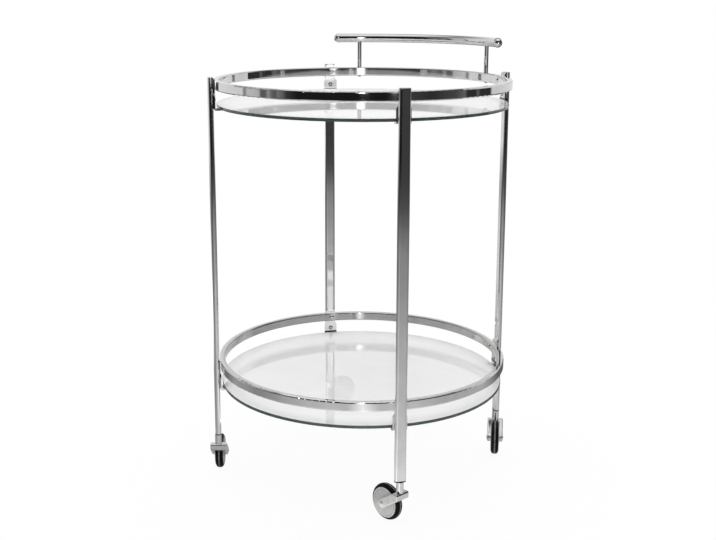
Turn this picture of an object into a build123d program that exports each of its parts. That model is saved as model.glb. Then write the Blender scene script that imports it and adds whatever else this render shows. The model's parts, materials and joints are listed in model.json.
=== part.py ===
from build123d import *
from build123d.topology import SkipClean

import math
import os

# Round two-tier serving cart: chrome tube frame, two glass shelves, arc handle, four swivel casters.
# Millimetres. Origin on the floor at the cart's centre, +Z up, handle over +Y.

# Rails: a rectangular tube bent into a full ring
rail_diameter = 500.0
rail_depth = 10.0
rail_height = 16.0
rail_corner = 2.5
rail_wall = 1.2
lower_rail_height = 114.0  # from the foot of the legs to the lower rail's underside

# Legs: flat-oval tube, wide face outwards
leg_length = 616.5
leg_width = 19.0
leg_depth = 9.0
leg_wall = 1.0
leg_overrun = 4.2  # tube left standing above the upper rail
leg_cap_plate = 1.2
leg_cap_depth = 6.5
leg_angles = {"front_right": -45.0, "back_right": 45.0, "back_left": 135.0, "front_left": 225.0}

# Glass shelves, hung below the rails on the brackets' lips
glass_thickness = 5.0
glass_edge = 0.8
glass_gap = 4.5  # from the glass's edge to the rail's outside, seen from above
shelf_drop = 24.5  # from the rail's underside to the glass's top

# Brackets: one bent strip each, from above the rail to under the glass
bracket_thickness = 2.0
bracket_width = 18.0
bracket_flange_width = 24.0
bracket_rise = 4.0  # above the rail's top
bracket_shoulder_drop = 4.0
bracket_shoulder_slope = 5.0
bracket_corner = 3.0
bracket_bend = 1.0
lip_length = 13.0
lip_corner = 5.0
pad_diameter = 8.0
pad_thickness = 1.0

# Fasteners: button-head bolts into blind nuts in the legs
bolt_diameter = 4.0
bolt_head_diameter = 8.0
bolt_head_height = 2.4
bolt_drive = 2.5  # across the flats of the hex socket
bolt_drive_depth = 1.2
bolt_reach = 4.5  # past the inside of the wall that it is screwed into
screw_lift = 8.5  # the lower screw's axis above the glass
nut_diameter = 6.0
nut_length = 5.0
nut_bulge_diameter = 7.6
nut_bulge_length = 1.6

# Handle
bar_diameter = 16.0
bar_wall = 1.2
bar_rise = 54.5  # from the rail's top to the bar's axis
bar_overhang = 39.0  # along the bar, from a post to the bar's end
post_diameter = 8.0
post_angle = 32.3  # either side of +Y
post_entry = 4.0  # how far the post reaches into the bar
post_thread_depth = 18.0
bar_cap_collar = 1.5
bar_cap_collar_diameter = 17.0
bar_cap_plug = 9.0

# Casters
wheel_diameter = 60.0
tyre_width = 13.0
tyre_thickness = 5.5
tyre_shoulder = 4.8
tyre_rib_width = 2.0
tyre_rib_height = 0.3
trail = 27.5
core_rim_thickness = 2.5
core_web = 4.0
hub_diameter = 14.0
hub_length = 15.4
cover_diameter = 49.8
cover_thickness = 0.7
cover_dish = 0.35
axle_diameter = 6.0
axle_head_diameter = 9.0
axle_head_height = 1.2
arm_thickness = 6.0
arm_end_radius = 7.5
arm_round = 2.0
crown_front = 7.0  # ahead of the swivel axis
crown_height = 12.0
crown_corner = 3.0
crown_web = 2.0  # metal left over the wheel slot at the neck's edge
neck_diameter = 12.0
neck_length = 17.7
stem_diameter = 4.5
stem_in_neck = 16.0
stem_in_socket = 26.0
stem_collar_diameter = 5.2
stem_collar_length = 2.0
stem_collar_height = 17.0
socket_flange = 2.0
socket_length = 32.0
caster_headings = {"front_right": 165.0, "back_right": 294.0, "back_left": 65.0, "front_left": 122.5}

# Clearances
seat_gap = 0.05  # between a flat piece and a curved one that it is clamped to
slip_gap = 0.1  # between pieces pushed into each other
hole_gap = 0.25  # around a bolt in a plain hole
thread_gap = 0.05
running_gap = 0.05  # around a turning shaft
swivel_gap = 0.3  # between faces that turn past each other
tyre_clearance = 1.5  # around the tyre in the fork

# Places worked out from the sizes
rail_radius = rail_diameter / 2
rail_inside = rail_radius - rail_depth
rail_middle = rail_radius - rail_depth / 2
bracket_inside = rail_radius + seat_gap
leg_inside = bracket_inside + bracket_thickness
leg_radius = leg_inside + leg_depth / 2
glass_radius = rail_radius - glass_gap
bolt_radius = bolt_diameter / 2
bar_radius = bar_diameter / 2
post_radius = post_diameter / 2
wheel_radius = wheel_diameter / 2
core_radius = wheel_radius - tyre_thickness
fork_gap = hub_length + 2 * swivel_gap
fork_width = fork_gap + 2 * arm_thickness
slot_radius = wheel_radius + tyre_clearance
neck_radius = neck_diameter / 2
stem_radius = stem_diameter / 2
bar_end_angle = post_angle + math.degrees(bar_overhang / rail_middle)


def rise_over_wheel(distance):
    """Height of the wheel slot's edge above the axle, at a distance from it along the cart's floor."""
    return math.sqrt(max(slot_radius**2 - distance**2, 0.0))


axle_height = wheel_radius
crown_top = axle_height + rise_over_wheel(trail - neck_radius) + crown_web
neck_top = crown_top + neck_length
leg_foot = neck_top + swivel_gap + socket_flange
leg_end = leg_foot + leg_length
rail_bases = {"upper": leg_end - leg_overrun - rail_height, "lower": leg_foot + lower_rail_height}
upper_rail_top = rail_bases["upper"] + rail_height
bar_height = upper_rail_top + bar_rise


# Shared helpers. A leg's own frame has +X outwards through the leg, so a turn about Z sets it in place.
def rod_along_x(radius, start, end, height):
    return Pos((start + end) / 2, 0, height) * Rot(0, 90, 0) * Cylinder(radius, end - start)


def rod_along_z(radius, bottom, top):
    return Pos(0, 0, (bottom + top) / 2) * Cylinder(radius, top - bottom)


def dome(radius, height):
    crest = TangentArc((0, height), (radius, 0), tangent=(1, 0))
    outline = Line((0, 0), (radius, 0)) + crest + Line((0, 0), (0, height))
    return revolve(Plane.XZ * make_face(outline), axis=Axis.Z)


def bolt(length):
    """Button-head bolt along Z: the head's seat at zero, the shank downwards."""
    head = dome(bolt_head_diameter / 2, bolt_head_height)
    socket_top = Pos(0, 0, bolt_head_height - bolt_drive_depth)
    head -= socket_top * extrude(RegularPolygon(bolt_drive / 2, 6, major_radius=False), bolt_head_height)
    return head + rod_along_z(bolt_radius, -length, 0)


def on_leg(shape, angle):
    return Rot(0, 0, angle) * shape


def glass_top(rail_base):
    return rail_base - shelf_drop


def bolt_height(rail_base):
    return rail_base + rail_height / 2


def screw_height(rail_base):
    return glass_top(rail_base) + screw_lift


def nut_heights():
    heights = []
    for base in rail_bases.values():
        heights += [bolt_height(base), screw_height(base)]
    return heights


# Frame
def leg_section(inset):
    return SlotOverall(leg_width - 2 * inset, leg_depth - 2 * inset, rotation=90)


def leg():
    tube = extrude(leg_section(0) - leg_section(leg_wall), leg_length)
    tube = Pos(leg_radius, 0, leg_foot) * tube
    for height in nut_heights():
        tube -= rod_along_x(nut_diameter / 2 + slip_gap, leg_inside - leg_wall, leg_radius, height)
    return tube


def leg_cap():
    plate = extrude(leg_section(0), leg_cap_plate)
    plate = fillet(plate.faces().sort_by(Axis.Z)[-1].edges(), leg_cap_plate / 2)
    plug = extrude(leg_section(leg_wall + slip_gap), -leg_cap_depth)
    return Pos(leg_radius, 0, leg_end) * (plate + plug)


def caster_socket():
    body = extrude(leg_section(leg_wall + slip_gap), socket_length)
    body += extrude(leg_section(slip_gap), -socket_flange)
    bore_top = stem_in_socket + swivel_gap
    body -= rod_along_z(stem_radius + running_gap, -socket_flange, bore_top)
    groove_low = stem_collar_height - swivel_gap
    groove_high = stem_collar_height + stem_collar_length + swivel_gap
    body -= rod_along_z(stem_collar_diameter / 2 + slip_gap, groove_low, groove_high)
    return Pos(leg_radius, 0, leg_foot) * body


def rail(base):
    outer_corner = min(rail_corner, 0.45 * min(rail_depth, rail_height))
    inner_corner = max(outer_corner - rail_wall, 0.2)
    section = RectangleRounded(rail_depth, rail_height, outer_corner)
    section -= RectangleRounded(rail_depth - 2 * rail_wall, rail_height - 2 * rail_wall, inner_corner)
    section = Plane.XZ * Pos(rail_middle, bolt_height(base)) * section
    quarter = revolve(section, axis=Axis.Z, revolution_arc=90)
    hole = rod_along_x(bolt_radius + hole_gap, rail_inside - rail_depth, bracket_inside, bolt_height(base))
    with SkipClean():  # the ring keeps the faces of its four quarters
        ring = quarter + [Rot(0, 0, turn) * quarter for turn in (90, 180, 270)]
        for angle in leg_angles.values():
            ring -= on_leg(hole, angle)
    return ring


def upper_rail():
    ring = rail(rail_bases["upper"])
    hole = rod_along_z(bolt_radius + hole_gap, rail_bases["upper"] - rail_wall, upper_rail_top + rail_wall)
    with SkipClean():
        for side in (-1, 1):
            ring -= at_post(hole, side)
    return ring


def shelf(base):
    disc = Pos(0, 0, glass_top(base) - glass_thickness / 2) * Cylinder(glass_radius, glass_thickness)
    return fillet(disc.edges().filter_by(GeomType.CIRCLE), glass_edge)


def lip_top(base):
    return glass_top(base) - glass_thickness - pad_thickness


def bracket_side(base):
    """The bent strip seen from the side: plate against the leg, lip under the glass."""
    top = base + rail_height + bracket_rise
    lip_end = bracket_inside - lip_length
    bottom = lip_top(base) - bracket_thickness
    outline = Polyline(
        (leg_inside, top),
        (leg_inside, bottom),
        (lip_end, bottom),
        (lip_end, lip_top(base)),
        (bracket_inside, lip_top(base)),
        (bracket_inside, top),
        close=True,
    )
    face = make_face(outline)
    inner_bend = face.vertices().sort_by_distance((bracket_inside, lip_top(base)))[0]
    face = fillet(inner_bend, bracket_bend)
    outer_bend = face.vertices().sort_by_distance((leg_inside, bottom))[0]
    return fillet(outer_bend, bracket_bend + bracket_thickness)


def bracket_front(base):
    """The strip's outline seen from the cart's centre: narrow on the rail, wider at the glass."""
    top = base + rail_height + bracket_rise
    shoulder_top = base - bracket_shoulder_drop
    shoulder_low = shoulder_top - bracket_shoulder_slope
    bottom = lip_top(base) - bracket_thickness
    narrow = bracket_width / 2
    wide = bracket_flange_width / 2
    corners = [(narrow, top), (narrow, shoulder_top), (wide, shoulder_low), (wide, bottom)]
    mirrored = [(-across, up) for across, up in reversed(corners)]
    face = make_face(Polyline(*corners, *mirrored, close=True))
    rounded = face.vertices().filter_by_position(Axis.Y, shoulder_low, top)
    return fillet(rounded, bracket_corner)


def bracket(base):
    strip = extrude(Plane.XZ * bracket_side(base), bracket_flange_width, both=True)
    reach = lip_length + bracket_thickness + seat_gap
    strip &= Pos(leg_inside, 0, 0) * extrude(Plane.YZ * bracket_front(base), -reach)
    lip_ends = strip.edges().filter_by(Axis.Z).group_by(Axis.X)[0]
    strip = fillet(lip_ends, lip_corner)
    for height in (bolt_height(base), screw_height(base)):
        strip -= rod_along_x(bolt_radius + hole_gap, bracket_inside - lip_length, leg_radius, height)
    return strip


def shelf_pads(base):
    height = lip_top(base) + pad_thickness / 2
    pad = Pos(bracket_inside - lip_length / 2, 0, height) * Cylinder(pad_diameter / 2, pad_thickness)
    return Compound([on_leg(pad, angle) for angle in leg_angles.values()])


# Fasteners of the frame
def inward_bolt(seat, height):
    """A bolt with its head towards the cart's centre, screwed outwards into the leg."""
    end = leg_inside + leg_wall + bolt_reach
    return Pos(seat, 0, height) * Rot(0, -90, 0) * bolt(end - seat)


def rail_bolts():
    bolts = []
    for base in rail_bases.values():
        one = inward_bolt(rail_inside - seat_gap, bolt_height(base))
        bolts += [on_leg(one, angle) for angle in leg_angles.values()]
    return Compound(bolts)


def bracket_screws():
    screws = []
    for base in rail_bases.values():
        one = inward_bolt(bracket_inside, screw_height(base))
        screws += [on_leg(one, angle) for angle in leg_angles.values()]
    return Compound(screws)


def blind_nut(height):
    wall_inside = leg_inside + leg_wall
    nut = rod_along_x(nut_diameter / 2, leg_inside, leg_inside + nut_length, height)
    nut += rod_along_x(nut_bulge_diameter / 2, wall_inside, wall_inside + nut_bulge_length, height)
    return nut - rod_along_x(bolt_radius + thread_gap, leg_inside, leg_inside + nut_length, height)


def blind_nuts():
    nuts = []
    for height in nut_heights():
        nuts += [on_leg(blind_nut(height), angle) for angle in leg_angles.values()]
    return Compound(nuts)


# Handle
def at_post(shape, side):
    return Rot(0, 0, 90 + side * post_angle) * Pos(rail_middle, 0, 0) * shape


def handle_bar():
    section = Circle(bar_radius) - Circle(bar_radius - bar_wall)
    section = Plane.XZ * Pos(rail_middle, bar_height) * section
    arc = revolve(section, axis=Axis.Z, revolution_arc=2 * bar_end_angle)
    arc = Rot(0, 0, 90 - bar_end_angle) * arc
    for side in (-1, 1):
        arc -= at_post(rod_along_z(post_radius + slip_gap, bar_height - bar_diameter, bar_height), side)
    return arc


def handle_post(side):
    top = bar_height - bar_radius + post_entry
    post = rod_along_z(post_radius, upper_rail_top, top)
    post -= rod_along_z(bolt_radius + thread_gap, upper_rail_top, upper_rail_top + post_thread_depth)
    return at_post(post, side)


def handle_screws():
    length = rail_height + post_thread_depth - bolt_diameter
    one = Pos(0, 0, rail_bases["upper"]) * Rot(180, 0, 0) * bolt(length)
    return Compound([at_post(one, side) for side in (-1, 1)])


def handle_cap(side):
    plug = rod_along_z(bar_radius - bar_wall - 3 * slip_gap, -bar_cap_plug, 0)
    collar = rod_along_z(bar_cap_collar_diameter / 2, 0, bar_cap_collar)
    end = Pos(0, 0, bar_cap_collar) * dome(bar_radius, bar_radius)
    cap = Pos(rail_middle, 0, bar_height) * Rot(-90 * side, 0, 0) * (plug + collar + end)
    return Rot(0, 0, 90 + side * bar_end_angle) * cap


# Casters, in a frame with the swivel axis at the origin and the wheel trailing along +X
def at_axle(shape):
    """Set a piece that was turned about Z on the axle, which lies along Y."""
    return Pos(trail, 0, axle_height) * Rot(90, 0, 0) * shape


def fork():
    axle_end = Pos(trail, axle_height) * Circle(arm_end_radius)
    crown_length = crown_front + neck_radius
    crown = Pos(neck_radius - crown_length / 2, crown_top - crown_height / 2)
    crown *= RectangleRounded(crown_length, crown_height, crown_corner)
    side = make_hull(axle_end.edges() + crown.edges())
    body = extrude(Plane.XZ * side, fork_width / 2, both=True)
    outer_faces = body.faces().filter_by(Axis.Y)
    body = fillet(outer_faces.edges(), arm_round)
    body += rod_along_z(neck_radius, crown_top - crown_web / 2, neck_top)
    body -= at_axle(Cylinder(slot_radius, fork_gap))
    body -= at_axle(Cylinder(axle_diameter / 2 + slip_gap, fork_width))
    return body - rod_along_z(stem_radius + thread_gap, neck_top - stem_in_neck, neck_top)


def caster_stem():
    bottom = neck_top - stem_in_neck
    collar_low = leg_foot + stem_collar_height
    stem = rod_along_z(stem_radius, bottom, leg_foot + stem_in_socket)
    return stem + rod_along_z(stem_collar_diameter / 2, collar_low, collar_low + stem_collar_length)


def axle():
    half = fork_width / 2
    head = Pos(0, 0, half) * dome(axle_head_diameter / 2, axle_head_height)
    pin = rod_along_z(axle_diameter / 2, -half, half)
    return at_axle(pin + head + Rot(180, 0, 0) * head)


def wheel_core():
    core = Cylinder(hub_diameter / 2, hub_length)
    core += Cylinder(core_radius, core_web)
    core += Cylinder(core_radius, tyre_width) - Cylinder(core_radius - core_rim_thickness, tyre_width)
    return at_axle(core - Cylinder(axle_diameter / 2 + running_gap, hub_length))


def wheel_covers():
    inner = hub_diameter / 2 + slip_gap
    outer = cover_diameter / 2
    low = tyre_width / 2 + slip_gap
    outline = Polyline(
        (inner, low + cover_dish),
        (outer, low),
        (outer, low + cover_thickness),
        (inner, low + cover_dish + cover_thickness),
        close=True,
    )
    cover = revolve(Plane.XZ * make_face(outline), axis=Axis.Z)
    return Compound([at_axle(cover), at_axle(Rot(180, 0, 0) * cover)])


def tyre():
    inner = core_radius + seat_gap
    tread = wheel_radius - tyre_rib_height
    band = Pos((inner + tread) / 2, 0) * Rectangle(tread - inner, tyre_width)
    shoulders = band.vertices().group_by(Axis.X)[-1]
    band = fillet(shoulders, min(tyre_shoulder, 0.95 * (tread - inner)))
    rib_depth = tyre_thickness / 2
    band += Pos(wheel_radius - rib_depth / 2, 0) * Rectangle(rib_depth, tyre_rib_width)
    return at_axle(revolve(Plane.XZ * band, axis=Axis.Z))


def on_caster(shape, name):
    turn = Rot(0, 0, caster_headings[name] - leg_angles[name])
    return on_leg(Pos(leg_radius, 0, 0) * turn * shape, leg_angles[name])


# All pieces by name
pieces = {
    "upper_rail": upper_rail(),
    "lower_rail": rail(rail_bases["lower"]),
    "rail_bolts": rail_bolts(),
    "bracket_screws": bracket_screws(),
    "blind_nuts": blind_nuts(),
    "handle_bar": handle_bar(),
    "handle_screws": handle_screws(),
}
for side_name, side in {"right": -1, "left": 1}.items():
    pieces[f"handle_post_{side_name}"] = handle_post(side)
    pieces[f"handle_cap_{side_name}"] = handle_cap(side)
for level, base in rail_bases.items():
    pieces[f"{level}_glass_shelf"] = shelf(base)
    pieces[f"{level}_shelf_pads"] = shelf_pads(base)
    for corner, angle in leg_angles.items():
        pieces[f"{level}_bracket_{corner}"] = on_leg(bracket(base), angle)
for corner, angle in leg_angles.items():
    pieces[f"leg_{corner}"] = on_leg(leg(), angle)
    pieces[f"leg_cap_{corner}"] = on_leg(leg_cap(), angle)
    pieces[f"caster_socket_{corner}"] = on_leg(caster_socket(), angle)
    pieces[f"caster_fork_{corner}"] = on_caster(fork(), corner)
    pieces[f"caster_stem_{corner}"] = on_caster(caster_stem(), corner)
    pieces[f"axle_{corner}"] = on_caster(axle(), corner)
    pieces[f"wheel_core_{corner}"] = on_caster(wheel_core(), corner)
    pieces[f"wheel_covers_{corner}"] = on_caster(wheel_covers(), corner)
    pieces[f"tyre_{corner}"] = on_caster(tyre(), corner)

os.makedirs("parts", exist_ok=True)
for name, shape in pieces.items():
    export_step(shape, f"parts/{name}.step")
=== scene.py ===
import json
import math

import bpy
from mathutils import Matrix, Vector

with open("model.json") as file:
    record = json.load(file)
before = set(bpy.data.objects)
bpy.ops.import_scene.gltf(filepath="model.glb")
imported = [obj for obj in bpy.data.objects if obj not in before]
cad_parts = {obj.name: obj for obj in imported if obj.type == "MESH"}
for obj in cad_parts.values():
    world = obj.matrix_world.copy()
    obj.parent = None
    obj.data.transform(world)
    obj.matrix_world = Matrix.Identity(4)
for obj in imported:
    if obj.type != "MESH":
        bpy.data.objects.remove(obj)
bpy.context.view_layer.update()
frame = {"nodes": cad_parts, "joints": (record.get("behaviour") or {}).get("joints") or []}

# Looks of a round two-tier serving cart. Metres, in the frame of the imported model.
nodes = frame["nodes"]
corners = ("front_right", "back_right", "back_left", "front_left")

# Camera, fitted to the photograph: the cart is seen from its front right, from just above its handle.
view_turn = 0.5636  # radians about Z
view_pitch = 0.2136  # radians below level
camera_across = -0.0454
camera_distance = 1.896
camera_height = 0.8414
focal_pixels = 1121.0
image_width = 716
sensor_width = 36.0  # millimetres
camera_shift = (0.0314, -0.06)  # shares of the image's width

# Sizes of the pieces that the materials follow
rail_inside = 0.240  # radius of both rails' inner wall
rail_outside = 0.250
glass_reach = 0.2455  # radius of both shelves
rim_width = 0.0012  # of a shelf's ground rim
cover_reach = 0.0249  # radius of the wheels' cover discs
rib_reach = (0.00096, 0.0016)  # where the lighter grey on a tyre's rib fades out, to either side of its middle

# Tints, in linear red, green and blue
chrome = (0.80, 0.80, 0.795)
chrome_inside_shaded = (0.54, 0.54, 0.535)  # the inner wall of the lower rail, darker than the chrome: painted shade
chrome_trim = (0.74, 0.74, 0.735)  # caps, bolts and screws
zinc = (0.70, 0.70, 0.70)  # nuts, stems and axles
cast_zinc = (0.72, 0.72, 0.71)  # caster forks
plate_shade = 0.93  # the darkest clouds on a plated tube, as a share of its tint
cast_shade = 0.86  # and on zinc
cover_shade_and_highlight_bands = (  # brightness of a cover disc, from its middle to its edge: painted shade on the pressed line, then a painted highlight on the band near the edge, darker at the very edge
    (0.0, 0.95), (0.84, 1.0), (0.86, 0.72), (0.88, 0.72), (0.90, 1.08), (0.985, 1.12), (1.0, 0.8),
)

# Polish lines, per metre across them and along them
lines_across = 1500
lines_along_ring = 14
lines_along_upright = 12
even_polish = 700

# Glass: the share of light that it lets through, clear and with its film, which shows as the view slants.
clear_share = 0.92
film_share = (0.20, 0.17)
film_slant = (0.30, 0.62)  # from 0, seen square on, to 1, seen edge on
rim_share = 0.35
rim_roughness = 0.12
smears_per_metre = (9, 16, 9)  # along X, Y and Z

# Studio: white to the eye, with a room for the chrome to mirror that is dark on the camera's side
floor_reach = 4.5
floor_sides = 96
floor_tint = (0.82, 0.82, 0.82)
floor_white = (0.95, 1.0)  # share of plain white in the floor, under the cart and away from it
floor_white_reach = (0.35, 1.3)  # distances between which that share grows
floor_end = (0.5, 0.9)  # shares of the floor's radius between which the chrome sees it turn into the walls
matt_light = 2.15  # strength of the room's light on matt surfaces, against 1 in the chrome

# Brightness of the floor in the chrome, from its middle to its rim: a pool of light under the cart
light_pool = (
    (0.0, 0.75), (0.06, 0.75), (0.085, 0.90), (0.12, 0.70), (0.17, 0.60), (0.24, 0.51), (0.34, 0.37),
    (0.45, 0.29), (0.62, 0.11), (0.75, 0.08), (1.0, 0.05),
)

# Bearings, as the camera sees the cart: 0 and 1 are behind it, 0.25 is left, 0.5 in front, 0.75 right.
# How the pool's brightness changes by bearing: a streak behind on the left, a softer one in front.
light_spread = (
    (0.0, 0.9), (0.04, 0.9), (0.056, 1.1), (0.072, 2.2), (0.090, 3.2), (0.12, 0.30), (0.18, 0.30),
    (0.22, 0.60), (0.30, 0.45), (0.40, 0.90), (0.475, 1.0), (0.5, 1.8), (0.525, 1.0), (0.60, 0.95),
    (0.66, 0.75), (0.76, 0.75), (0.80, 0.45), (0.83, 0.20), (0.88, 0.20), (0.92, 0.80), (1.0, 0.9),
)

# Brightness of the room's walls by bearing: pale behind, dark in front, panels and gaps between
room_walls = (
    (0.000, 0.85), (0.214, 0.75), (0.219, 0.25), (0.224, 0.25), (0.228, 0.60), (0.265, 0.50),
    (0.270, 0.12), (0.284, 0.12), (0.290, 0.35), (0.300, 0.10), (0.320, 0.20), (0.335, 0.04),
    (0.360, 0.012), (0.545, 0.012), (0.565, 0.05), (0.600, 0.05), (0.640, 0.03), (0.700, 0.07),
    (0.724, 0.14), (0.729, 0.03), (0.756, 0.03), (0.760, 0.12), (0.764, 0.12), (0.768, 0.03),
    (0.805, 0.03), (0.812, 0.70), (1.000, 0.85),
)

# Narrow lamps on the dark side of the room, by bearing
room_lamps = (
    (0.000, 0.0), (0.488, 0.0), (0.500, 3.8), (0.512, 0.0), (0.554, 0.0), (0.558, 1.4), (0.572, 1.4),
    (0.576, 0.0), (1.000, 0.0),
)

# Heights in the room, as the Z of a direction of length one
lamp_sill = (-0.088, -0.082)  # where the lamps fade in, just under eye level
lamp_head = (0.33, 0.38)  # and where they fade out
wall_fade = ((0.0, 1.0), (0.45, 1.0), (0.75, 0.25), (1.0, 0.2))  # brightness of the walls
ceiling_glow = ((0.0, 0.0), (0.66, 0.0), (0.90, 0.95), (1.0, 0.95))


def towards_view(across, along, height):
    """A point given across and along the line of sight, turned into the cart's own frame."""
    cosine, sine = math.cos(view_turn), math.sin(view_turn)
    return (across * cosine - along * sine, across * sine + along * cosine, height)


def add_camera():
    data = bpy.data.cameras.new("photo_camera")
    data.sensor_width = sensor_width
    data.lens = focal_pixels * sensor_width / image_width
    data.shift_x, data.shift_y = camera_shift
    camera = bpy.data.objects.new("photo_camera", data)
    camera.location = towards_view(camera_across, -camera_distance, camera_height)
    camera.rotation_euler = (math.pi / 2 - view_pitch, 0, view_turn)
    bpy.context.scene.collection.objects.link(camera)
    bpy.context.scene.camera = camera


# Node helpers
def new_material(name):
    material = bpy.data.materials.new(name)
    material.use_nodes = True
    tree = material.node_tree
    return material, tree, tree.nodes["Principled BSDF"]


def node(tree, kind, **settings):
    made = tree.nodes.new(kind)
    for key, value in settings.items():
        setattr(made, key, value)
    return made


def object_coordinates(tree):
    return node(tree, "ShaderNodeTexCoord").outputs["Object"]


def stretched(tree, vector, scale):
    """Coordinates scaled differently along each axis."""
    mapping = node(tree, "ShaderNodeMapping")
    mapping.inputs["Scale"].default_value = scale
    tree.links.new(vector, mapping.inputs["Vector"])
    return mapping.outputs["Vector"]


def noise(tree, vector, scale, detail=4.0, roughness=0.55):
    made = node(tree, "ShaderNodeTexNoise")
    made.inputs["Scale"].default_value = scale
    made.inputs["Detail"].default_value = detail
    made.inputs["Roughness"].default_value = roughness
    tree.links.new(vector, made.inputs["Vector"])
    return made.outputs["Fac"]


def spread(tree, value, low, high, from_low=0.3, from_high=0.7):
    """Map a value to a range of a setting. It comes from the range of a noise unless another is given."""
    made = node(tree, "ShaderNodeMapRange")
    made.inputs["From Min"].default_value = from_low
    made.inputs["From Max"].default_value = from_high
    made.inputs["To Min"].default_value = low
    made.inputs["To Max"].default_value = high
    tree.links.new(value, made.inputs["Value"])
    return made.outputs["Result"]


def two_tone(tree, value, dark, light, low=0.35, high=0.65):
    ramp = node(tree, "ShaderNodeValToRGB")
    ramp.color_ramp.elements[0].position = low
    ramp.color_ramp.elements[0].color = (*dark, 1)
    ramp.color_ramp.elements[1].position = high
    ramp.color_ramp.elements[1].color = (*light, 1)
    tree.links.new(value, ramp.inputs["Fac"])
    return ramp.outputs["Color"]


def clouded(tree, cloud, tint, shade):
    """A tint that darkens in clouds, down to a share of itself."""
    return two_tone(tree, cloud, tuple(shade * channel for channel in tint), tint)


def ramp_of(tree, value, stops):
    """A grey ramp, from stops that each give a position and a level."""
    ramp = node(tree, "ShaderNodeValToRGB")
    elements = ramp.color_ramp.elements
    while len(elements) < len(stops):
        elements.new(0.5)
    for element, (position, level) in zip(elements, stops):
        element.position = position
        element.color = (level, level, level, 1)
    tree.links.new(value, ramp.inputs["Fac"])
    return ramp.outputs["Color"]


def mixed(tree, share, first, second):
    """Between two colours or two numbers, by a share from 0 to 1."""
    colours = getattr(first, "type", "VALUE") == "RGBA"
    made = node(tree, "ShaderNodeMix", data_type="RGBA" if colours else "FLOAT")
    sockets = [socket for socket in made.inputs if socket.enabled]
    for socket, value in zip(sockets, (share, first, second)):
        if isinstance(value, float):
            socket.default_value = value
        else:
            tree.links.new(value, socket)
    return next(socket for socket in made.outputs if socket.enabled)


def combined(tree, way, first, second):
    """Two colours in full, in one of the Mix node's ways."""
    made = node(tree, "ShaderNodeMix", data_type="RGBA", blend_type=way)
    made.inputs["Factor"].default_value = 1.0
    tree.links.new(first, made.inputs["A"])
    tree.links.new(second, made.inputs["B"])
    return made.outputs["Result"]


def multiplied(tree, first, second):
    return combined(tree, "MULTIPLY", first, second)


def brighter(tree, first, second):
    """The lighter of two colours."""
    return combined(tree, "LIGHTEN", first, second)


def bump(tree, height, strength, distance, below=None):
    made = node(tree, "ShaderNodeBump")
    made.inputs["Strength"].default_value = strength
    made.inputs["Distance"].default_value = distance
    tree.links.new(height, made.inputs["Height"])
    if below is not None:
        tree.links.new(below, made.inputs["Normal"])
    return made.outputs["Normal"]


def math_node(tree, operation, first, second=None):
    made = node(tree, "ShaderNodeMath", operation=operation)
    for socket, value in zip(made.inputs, (first, second)):
        if value is None:
            continue
        if isinstance(value, (int, float)):
            socket.default_value = value
        else:
            tree.links.new(value, socket)
    return made.outputs["Value"]


def axes_of(tree, vector):
    parts = node(tree, "ShaderNodeSeparateXYZ")
    tree.links.new(vector, parts.inputs["Vector"])
    return parts.outputs


# Places on a piece
def around_upright(tree):
    """Coordinates that follow a ring about Z: distance from the axis, length along the ring, height."""
    across, along, up = axes_of(tree, object_coordinates(tree))
    across_squared = math_node(tree, "MULTIPLY", across, across)
    along_squared = math_node(tree, "MULTIPLY", along, along)
    reach = math_node(tree, "SQRT", math_node(tree, "ADD", across_squared, along_squared))
    turn = math_node(tree, "ARCTAN2", along, across)
    length = math_node(tree, "MULTIPLY", turn, rail_outside)
    joined = node(tree, "ShaderNodeCombineXYZ")
    for value, socket in zip((reach, length, up), joined.inputs):
        tree.links.new(value, socket)
    return joined.outputs["Vector"]


def ring_distance(tree):
    return axes_of(tree, around_upright(tree))["X"]


def ring_lines(tree):
    return stretched(tree, around_upright(tree), (lines_across, lines_along_ring, lines_across))


def upright_lines(tree):
    return stretched(tree, object_coordinates(tree), (lines_across, lines_across, lines_along_upright))


def even_lines(tree):
    return stretched(tree, object_coordinates(tree), (even_polish, even_polish, even_polish))


def from_axle(tree, centre, axis):
    """Distance from a wheel's axle and distance along it, either way from the wheel's middle."""
    offset = node(tree, "ShaderNodeVectorMath", operation="SUBTRACT")
    tree.links.new(object_coordinates(tree), offset.inputs[0])
    offset.inputs[1].default_value = centre
    sideways = node(tree, "ShaderNodeVectorMath", operation="CROSS_PRODUCT")
    tree.links.new(offset.outputs["Vector"], sideways.inputs[0])
    sideways.inputs[1].default_value = axis
    reach = node(tree, "ShaderNodeVectorMath", operation="LENGTH")
    tree.links.new(sideways.outputs["Vector"], reach.inputs[0])
    along = node(tree, "ShaderNodeVectorMath", operation="DOT_PRODUCT")
    tree.links.new(offset.outputs["Vector"], along.inputs[0])
    along.inputs[1].default_value = axis
    return reach.outputs["Value"], math_node(tree, "ABSOLUTE", along.outputs["Value"])


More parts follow.
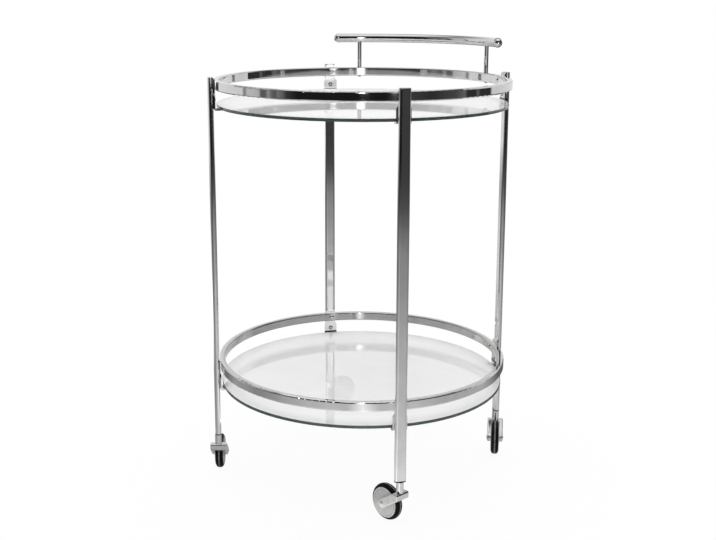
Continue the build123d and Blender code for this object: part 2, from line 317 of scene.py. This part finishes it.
# Materials. Polish lines, ripple and grain are procedural, in metres, and ride with each piece.
def plated(name, tint, shine, lines, wave=0.06, inside=None):
    """Bright plate: faint polish lines along the piece and the slow ripple of drawn and bent tube.

    A rail may have a darker tint on the inner wall of its ring: painted shade, which also dims what that
    wall mirrors.
    """
    material, tree, shader = new_material(name)
    shader.inputs["Metallic"].default_value = 1.0
    streaks = noise(tree, lines(tree), scale=1.0, detail=5.0)
    cloud = noise(tree, object_coordinates(tree), scale=45.0, detail=3.0)
    colour = clouded(tree, cloud, tint, plate_shade)
    if inside is not None:
        # The inner wall's darker tint is painted shade.
        outward = spread(tree, ring_distance(tree), 0.0, 1.0, rail_inside, rail_outside)
        colour = mixed(tree, outward, clouded(tree, cloud, inside, plate_shade), colour)
    tree.links.new(colour, shader.inputs["Base Color"])
    tree.links.new(spread(tree, streaks, *shine), shader.inputs["Roughness"])
    slow = noise(tree, object_coordinates(tree), scale=26.0, detail=1.0)
    ripple = bump(tree, slow, strength=wave, distance=0.0004)
    polish = bump(tree, streaks, strength=0.02, distance=0.0001, below=ripple)
    tree.links.new(polish, shader.inputs["Normal"])
    return material


def cast_metal(name, tint, shine):
    """Zinc, cast or plated on steel, barrel-polished: soft edges in its reflections, fine pits."""
    material, tree, shader = new_material(name)
    shader.inputs["Metallic"].default_value = 1.0
    place = object_coordinates(tree)
    cloud = noise(tree, place, scale=160.0, detail=5.0)
    pits = noise(tree, place, scale=1400.0, detail=3.0)
    tree.links.new(clouded(tree, cloud, tint, cast_shade), shader.inputs["Base Color"])
    tree.links.new(spread(tree, cloud, *shine), shader.inputs["Roughness"])
    soft = bump(tree, cloud, strength=0.06, distance=0.0006)
    pitted = bump(tree, pits, strength=0.05, distance=0.0002, below=soft)
    tree.links.new(pitted, shader.inputs["Normal"])
    return material


def wheel_cover(name, centre, axis):
    """Satin sheet disc: fine rings about its own axle, painted shade on a pressed line and a painted
    highlight on a band near its edge.
    """
    material, tree, shader = new_material(name)
    shader.inputs["Metallic"].default_value = 0.4
    reach, _ = from_axle(tree, centre, axis)
    turning = node(tree, "ShaderNodeTexNoise", noise_dimensions="1D")
    turning.inputs["Scale"].default_value = 2600.0
    turning.inputs["Detail"].default_value = 3.0
    tree.links.new(reach, turning.inputs["W"])
    rings = turning.outputs["Fac"]
    cloud = noise(tree, object_coordinates(tree), scale=70.0, detail=4.0)
    face = two_tone(tree, cloud, dark=(0.48, 0.48, 0.47), light=(0.57, 0.57, 0.56))
    # Painted shade on the pressed line, a painted highlight on the band near the edge.
    edge = ramp_of(tree, math_node(tree, "DIVIDE", reach, cover_reach), cover_shade_and_highlight_bands)
    tree.links.new(multiplied(tree, face, edge), shader.inputs["Base Color"])
    tree.links.new(spread(tree, rings, low=0.34, high=0.50), shader.inputs["Roughness"])
    tree.links.new(bump(tree, rings, strength=0.10, distance=0.0002), shader.inputs["Normal"])
    return material


def tyre_rubber(name, centre, axis):
    """Black rubber with a fine grain, and a lighter grey on the rib round the middle of the tread."""
    material, tree, shader = new_material(name)
    shader.inputs["Specular IOR Level"].default_value = 0.08
    place = object_coordinates(tree)
    _, aside = from_axle(tree, centre, axis)
    rubber_mottle = noise(tree, place, scale=220.0, detail=6.0)
    grain = noise(tree, place, scale=2200.0, detail=2.0)
    rubber = two_tone(tree, rubber_mottle, (0.003, 0.003, 0.003), (0.009, 0.009, 0.010), low=0.4, high=0.75)
    # The rib round the middle of the tread is a lighter grey.
    rib_grey = two_tone(tree, rubber_mottle, dark=(0.15, 0.15, 0.145), light=(0.30, 0.30, 0.29))
    on_rib = spread(tree, aside, 1.0, 0.0, *rib_reach)
    tree.links.new(mixed(tree, on_rib, rubber, rib_grey), shader.inputs["Base Color"])
    tree.links.new(spread(tree, rubber_mottle, low=0.36, high=0.60), shader.inputs["Roughness"])
    tree.links.new(bump(tree, grain, strength=0.18, distance=0.0002), shader.inputs["Normal"])
    return material


def shelf_glass():
    """Float glass: clear from above, a pale smeared film at low angles, a dark ground and polished rim."""
    material, tree, shader = new_material("shelf_glass")
    shader.inputs["IOR"].default_value = 1.5
    wiped = stretched(tree, object_coordinates(tree), smears_per_metre)
    smears = noise(tree, wiped, scale=1.0, detail=6.0)
    grinding = noise(tree, ring_lines(tree), scale=1.0, detail=5.0)
    rim = spread(tree, ring_distance(tree), 0.0, 1.0, glass_reach - rim_width, glass_reach - rim_width / 2)
    face_tint = two_tone(tree, smears, dark=(0.96, 0.965, 0.96), light=(0.975, 0.98, 0.975))
    rim_tint = two_tone(tree, grinding, dark=(0.035, 0.055, 0.050), light=(0.085, 0.120, 0.110))
    tree.links.new(mixed(tree, rim, face_tint, rim_tint), shader.inputs["Base Color"])
    slant = node(tree, "ShaderNodeLayerWeight").outputs["Facing"]
    hazy = spread(tree, slant, 0.0, 1.0, *film_slant)
    clarity = mixed(tree, hazy, clear_share, spread(tree, smears, *film_share))
    tree.links.new(mixed(tree, rim, clarity, rim_share), shader.inputs["Transmission Weight"])
    face_roughness = spread(tree, smears, low=0.0, high=0.015)
    tree.links.new(mixed(tree, rim, face_roughness, rim_roughness), shader.inputs["Roughness"])
    return material


def clear_pad():
    """Soft clear plastic under the glass, a little cloudy."""
    material, tree, shader = new_material("clear_pad")
    shader.inputs["Transmission Weight"].default_value = 0.7
    shader.inputs["IOR"].default_value = 1.41
    cloud = noise(tree, object_coordinates(tree), scale=400.0)
    colour = two_tone(tree, cloud, dark=(0.74, 0.76, 0.74), light=(0.86, 0.87, 0.85))
    tree.links.new(colour, shader.inputs["Base Color"])
    tree.links.new(spread(tree, cloud, low=0.25, high=0.4), shader.inputs["Roughness"])
    return material


def moulded(name, dark, light):
    """Moulded nylon with a fine spark-eroded grain."""
    material, tree, shader = new_material(name)
    place = object_coordinates(tree)
    cloud = noise(tree, place, scale=120.0)
    grain = noise(tree, place, scale=1800.0)
    tree.links.new(two_tone(tree, cloud, dark, light), shader.inputs["Base Color"])
    tree.links.new(spread(tree, cloud, low=0.38, high=0.55), shader.inputs["Roughness"])
    tree.links.new(bump(tree, grain, strength=0.15, distance=0.0002), shader.inputs["Normal"])
    return material


# Materials on the pieces
def wear(name, material):
    """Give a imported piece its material."""
    for slot in nodes[name].material_slots:
        slot.material = material


def wheel_axis(corner):
    """The centre and the direction of a wheel's axle, from the wheel's own joint."""
    for joint in frame["joints"]:
        if joint["name"] == f"roll_{corner}":
            return joint["pos_m"], joint["axis"]


def dress_shelves():
    rails = {
        "upper": plated("chrome_upper_rail", chrome, (0.03, 0.06), ring_lines),
        # The lower rail's inner wall gets a darker tint: painted shade.
        "lower": plated("chrome_lower_rail", chrome, (0.03, 0.06), ring_lines, inside=chrome_inside_shaded),
    }
    glass = shelf_glass()
    pad = clear_pad()
    for level, rail in rails.items():
        wear(f"{level}_rail", rail)
        wear(f"{level}_glass_shelf", glass)
        wear(f"{level}_shelf_pads", pad)


def dress_handle():
    bar = plated("chrome_handle", chrome, (0.012, 0.035), ring_lines)
    wear("handle_bar", bar)
    for side in ("right", "left"):
        wear(f"handle_post_{side}", bar)
        wear(f"handle_cap_{side}", bar)


def dress_legs():
    leg = plated("chrome_leg", chrome, (0.02, 0.06), upright_lines, wave=0.02)
    bracket = plated("chrome_bracket", chrome, (0.03, 0.08), upright_lines)
    trim = plated("chrome_trim", chrome_trim, (0.03, 0.08), even_lines)
    for corner in corners:
        wear(f"leg_{corner}", leg)
        wear(f"leg_cap_{corner}", trim)
        wear(f"upper_bracket_{corner}", bracket)
        wear(f"lower_bracket_{corner}", bracket)
    for name in ("rail_bolts", "bracket_screws", "handle_screws"):
        wear(name, trim)


def dress_casters():
    fork = cast_metal("cast_fork", cast_zinc, (0.04, 0.11))
    steel = cast_metal("zinc_steel", zinc, (0.32, 0.46))
    socket = moulded("black_nylon", dark=(0.004, 0.004, 0.004), light=(0.010, 0.010, 0.011))
    core = moulded("wheel_nylon", dark=(0.05, 0.05, 0.05), light=(0.09, 0.09, 0.09))
    wear("blind_nuts", steel)
    for corner in corners:
        wear(f"caster_socket_{corner}", socket)
        wear(f"caster_fork_{corner}", fork)
        wear(f"caster_stem_{corner}", steel)
        wear(f"axle_{corner}", steel)
        wear(f"wheel_core_{corner}", core)
        wear(f"wheel_covers_{corner}", wheel_cover(f"wheel_cover_{corner}", *wheel_axis(corner)))
        wear(f"tyre_{corner}", tyre_rubber(f"tyre_rubber_{corner}", *wheel_axis(corner)))


# Studio
def seen_directly(tree):
    """One for what the camera sees, also through glass; zero for what a mirror or the light sees."""
    path = node(tree, "ShaderNodeLightPath")
    direct = math_node(tree, "MAXIMUM", path.outputs["Is Camera Ray"], path.outputs["Is Transmission Ray"])
    unmirrored = math_node(tree, "LESS_THAN", path.outputs["Glossy Depth"], 0.5)
    return math_node(tree, "MULTIPLY", direct, unmirrored)


def end_studio_tree(tree, mirrored, direct, output_kind):
    """End a tree of the studio: one shader for mirrors and for light, another for the eye."""
    blend = node(tree, "ShaderNodeMixShader")
    tree.links.new(seen_directly(tree), blend.inputs["Fac"])
    tree.links.new(mirrored, blend.inputs[1])
    tree.links.new(direct, blend.inputs[2])
    output = node(tree, output_kind)
    tree.links.new(blend.outputs["Shader"], output.inputs["Surface"])


def bearing_and_height(tree, vector):
    """A direction's bearing about the cart, 0.5 towards the camera's side of the room, and its height."""
    turned = node(tree, "ShaderNodeVectorRotate", rotation_type="Z_AXIS")
    turned.inputs["Angle"].default_value = -view_turn
    tree.links.new(vector, turned.inputs["Vector"])
    across, along, up = axes_of(tree, turned.outputs["Vector"])
    bearing = math_node(tree, "ARCTAN2", across, math_node(tree, "MULTIPLY", along, -1.0))
    return math_node(tree, "ADD", math_node(tree, "DIVIDE", bearing, math.tau), 0.5), up


def white_floor(tree, distance):
    """The floor to the eye: white, with a faint shadow under the cart."""
    paint = node(tree, "ShaderNodeBsdfDiffuse")
    paint.inputs["Color"].default_value = (*floor_tint, 1)
    white = node(tree, "ShaderNodeEmission")
    white.inputs["Color"].default_value = (1, 1, 1, 1)
    shaded = node(tree, "ShaderNodeMixShader")
    tree.links.new(spread(tree, distance, *floor_white, *floor_white_reach), shaded.inputs["Fac"])
    tree.links.new(paint.outputs["BSDF"], shaded.inputs[1])
    tree.links.new(white.outputs["Emission"], shaded.inputs[2])
    return shaded.outputs["Shader"]


def lit_floor(tree, distance):
    """The floor in the chrome: a pool of light that turns into the walls farther out."""
    pool = node(tree, "ShaderNodeEmission")
    reach = math_node(tree, "DIVIDE", distance, floor_reach)
    bearing, _ = bearing_and_height(tree, object_coordinates(tree))
    near = multiplied(tree, ramp_of(tree, reach, light_pool), ramp_of(tree, bearing, light_spread))
    far = spread(tree, reach, 0.0, 1.0, *floor_end)
    tree.links.new(mixed(tree, far, near, ramp_of(tree, bearing, room_walls)), pool.inputs["Color"])
    return pool.outputs["Emission"]


def floor_material():
    material = bpy.data.materials.new("studio_floor")
    material.use_nodes = True
    tree = material.node_tree
    tree.nodes.clear()
    length = node(tree, "ShaderNodeVectorMath", operation="LENGTH")
    tree.links.new(object_coordinates(tree), length.inputs[0])
    distance = length.outputs["Value"]
    mirrored = lit_floor(tree, distance)
    direct = white_floor(tree, distance)
    end_studio_tree(tree, mirrored, direct, "ShaderNodeOutputMaterial")
    return material


def add_floor():
    turns = [math.tau * step / floor_sides for step in range(floor_sides)]
    rim = [(floor_reach * math.cos(turn), floor_reach * math.sin(turn), 0) for turn in turns]
    mesh = bpy.data.meshes.new("studio_floor")
    mesh.from_pydata(rim, [], [range(floor_sides)])
    mesh.materials.append(floor_material())
    floor = bpy.data.objects.new("studio_floor", mesh)
    bpy.context.scene.collection.objects.link(floor)


def add_room():
    """White to the eye. The chrome mirrors pale walls, a dark side with lamps, and a glow overhead."""
    world = bpy.data.worlds.new("studio")
    bpy.context.scene.world = world
    world.use_nodes = True
    tree = world.node_tree
    tree.nodes.clear()
    bearing, up = bearing_and_height(tree, node(tree, "ShaderNodeTexCoord").outputs["Generated"])
    walls = multiplied(tree, ramp_of(tree, bearing, room_walls), ramp_of(tree, up, wall_fade))
    above_sill = spread(tree, up, 0.0, 1.0, *lamp_sill)
    below_head = spread(tree, up, 1.0, 0.0, *lamp_head)
    in_height = math_node(tree, "MULTIPLY", above_sill, below_head)
    lamps = multiplied(tree, ramp_of(tree, bearing, room_lamps), in_height)
    glow = ramp_of(tree, up, ceiling_glow)
    room = node(tree, "ShaderNodeBackground")
    tree.links.new(brighter(tree, brighter(tree, walls, lamps), glow), room.inputs["Color"])
    lights_matt = node(tree, "ShaderNodeLightPath").outputs["Is Diffuse Ray"]
    tree.links.new(spread(tree, lights_matt, 1.0, matt_light, 0.0, 1.0), room.inputs["Strength"])
    white = node(tree, "ShaderNodeBackground")
    white.inputs["Color"].default_value = (1, 1, 1, 1)
    end_studio_tree(tree, room.outputs["Background"], white.outputs["Background"], "ShaderNodeOutputWorld")


def add_light(name, place, target, size, power):
    data = bpy.data.lights.new(name, "AREA")
    data.shape = "DISK"
    data.size = size
    data.energy = power
    light = bpy.data.objects.new(name, data)
    light.location = place
    direction = Vector(target) - Vector(place)
    light.rotation_euler = direction.to_track_quat("-Z", "Y").to_euler()
    light.visible_camera = False
    bpy.context.scene.collection.objects.link(light)
    return light


def add_lights():
    overhead = add_light("overhead", place=(0, 0, 2.3), target=(0, 0, 0), size=1.4, power=5)
    overhead.visible_glossy = False
    behind_camera = towards_view(across=0.0, along=-2.4, height=1.25)
    add_light("flash", behind_camera, target=(0, 0, 0.45), size=0.12, power=6)


add_camera()
add_floor()
add_room()
add_lights()
dress_shelves()
dress_handle()
dress_legs()
dress_casters()
bpy.context.scene.view_settings.view_transform = "Standard"
